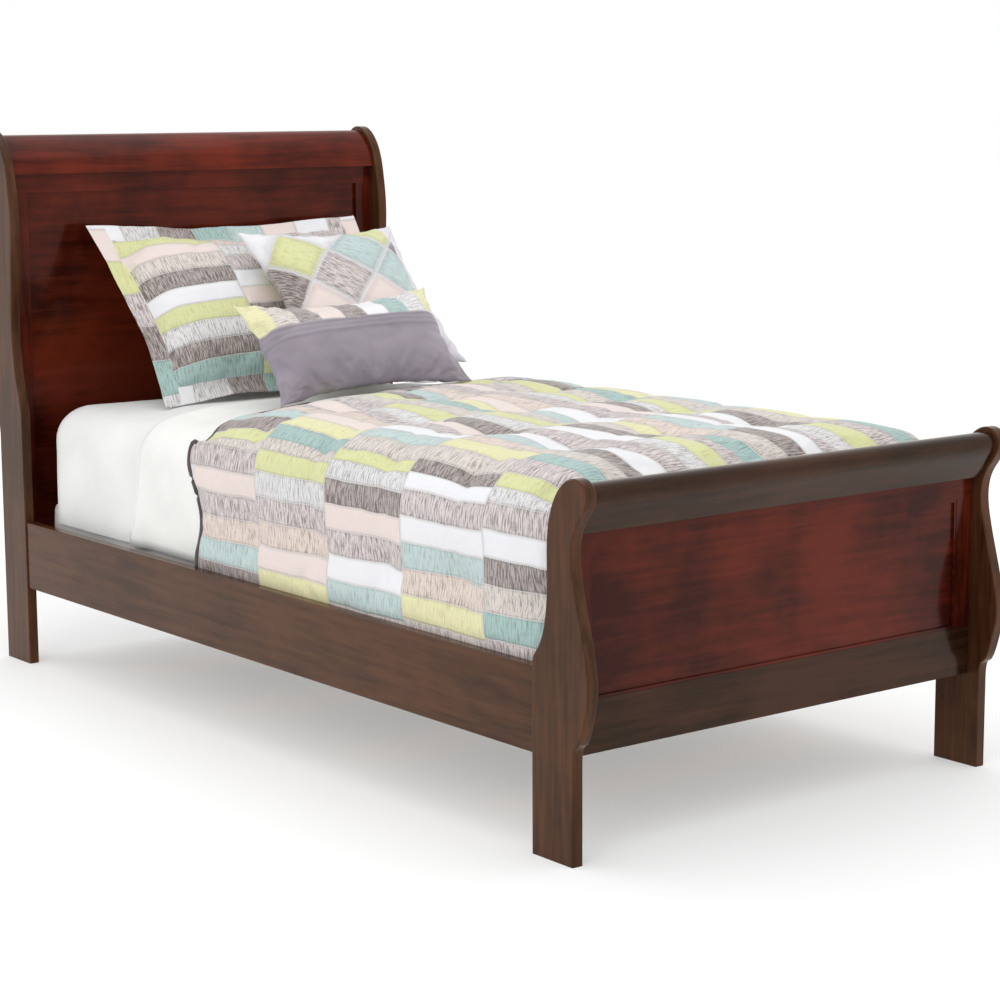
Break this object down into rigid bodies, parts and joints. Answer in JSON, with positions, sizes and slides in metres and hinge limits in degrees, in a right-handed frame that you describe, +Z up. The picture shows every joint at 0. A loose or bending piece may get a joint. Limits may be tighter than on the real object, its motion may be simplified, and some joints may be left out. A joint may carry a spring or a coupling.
{
  "type": "sleigh bed",
  "caption": "Single sleigh bed with scrolled head and foot boards, hooked side rails, slats, foundation, mattress, comforter and pillows.",
  "frame": {"origin": "on the floor under the middle of the bed", "axes": "+Y towards the headboard, +X to the right as seen from the foot, +Z up"},
  "size_m": [1.08, 2.244, 1.2665],
  "materials": {
    "cherry_wood": "gloss",
    "plain_timber": "matte",
    "connector_steel": "satin",
    "screw_steel": "satin",
    "foundation_cloth": "matte",
    "ticking": "matte",
    "foam": "matte",
    "sheet_cotton": "matte",
    "blanket_cotton": "matte",
    "comforter_patchwork": "matte",
    "pillow_fill": "matte",
    "sham_patchwork": "matte",
    "diamond_patchwork": "matte",
    "oblong_satin": "satin"
  },
  "bodies": {
    "bedstead": {"bolt_plugs": "cherry_wood", "connector_screws": "screw_steel", "crest_bolts": "screw_steel", "foot_crest_rail": "cherry_wood", "foot_dowels": "plain_timber", "foot_lower_rail": "cherry_wood", "foot_panel": "cherry_wood", "foot_panel_bead": "cherry_wood", "foot_post_left": "cherry_wood", "foot_post_right": "cherry_wood", "foot_stile_left": "cherry_wood", "foot_stile_right": "cherry_wood", "foot_upper_rail": "cherry_wood", "head_crest_rail": "cherry_wood", "head_dowels": "plain_timber", "head_lower_rail": "cherry_wood", "head_panel": "cherry_wood", "head_post_left": "cherry_wood", "head_post_right": "cherry_wood", "head_stile_left": "cherry_wood", "head_stile_right": "cherry_wood", "head_upper_rail": "cherry_wood", "hook_plate_foot_left": "connector_steel", "hook_plate_foot_right": "connector_steel", "hook_plate_head_left": "connector_steel", "hook_plate_head_right": "connector_steel", "ledger_screws": "screw_steel", "side_rail_left": "cherry_wood", "side_rail_right": "cherry_wood", "slat_1": "plain_timber", "slat_2": "plain_timber", "slat_3": "plain_timber", "slat_4": "plain_timber", "slat_ledger_left": "plain_timber", "slat_ledger_right": "plain_timber", "slat_screws": "screw_steel", "slot_plate_foot_left": "connector_steel", "slot_plate_foot_right": "connector_steel", "slot_plate_head_left": "connector_steel", "slot_plate_head_right": "connector_steel"},
    "foundation": {"foundation_base_cloth": "foundation_cloth", "foundation_cover": "foundation_cloth", "foundation_deck": "plain_timber", "foundation_frame": "plain_timber"},
    "mattress": {"mattress_base_foam": "foam", "mattress_cover": "ticking", "mattress_edge_foam": "foam", "mattress_spring_unit": "foam", "mattress_top_foam": "foam", "fitted_sheet": "sheet_cotton", "blanket": "blanket_cotton", "comforter": "comforter_patchwork"},
    "sham": {"sham_cover": "sham_patchwork", "sham_insert": "pillow_fill"},
    "square_pillow": {"square_pillow_cover": "diamond_patchwork", "square_pillow_insert": "pillow_fill"},
    "oblong_pillow": {"oblong_pillow_cover": "oblong_satin", "oblong_pillow_insert": "pillow_fill"}
  },
  "joints": [
    {"name": "foundation_lift", "type": "slide", "parent": "bedstead", "child": "foundation", "axis": [0, 0, 1], "range_m": [0, 1.1]},
    {"name": "mattress_lift", "type": "slide", "parent": "foundation", "child": "mattress", "axis": [0, 0, 1], "range_m": [0, 0.95]},
    {"name": "sham_lift", "type": "slide", "parent": "mattress", "child": "sham", "axis": [0, 0, 1], "range_m": [0, 0.65]},
    {"name": "square_pillow_lift", "type": "slide", "parent": "sham", "child": "square_pillow", "axis": [0, 0, 1], "range_m": [0, 0.4]},
    {"name": "oblong_pillow_lift", "type": "slide", "parent": "square_pillow", "child": "oblong_pillow", "axis": [0, 0, 1], "range_m": [0, 0.4]}
  ]
}
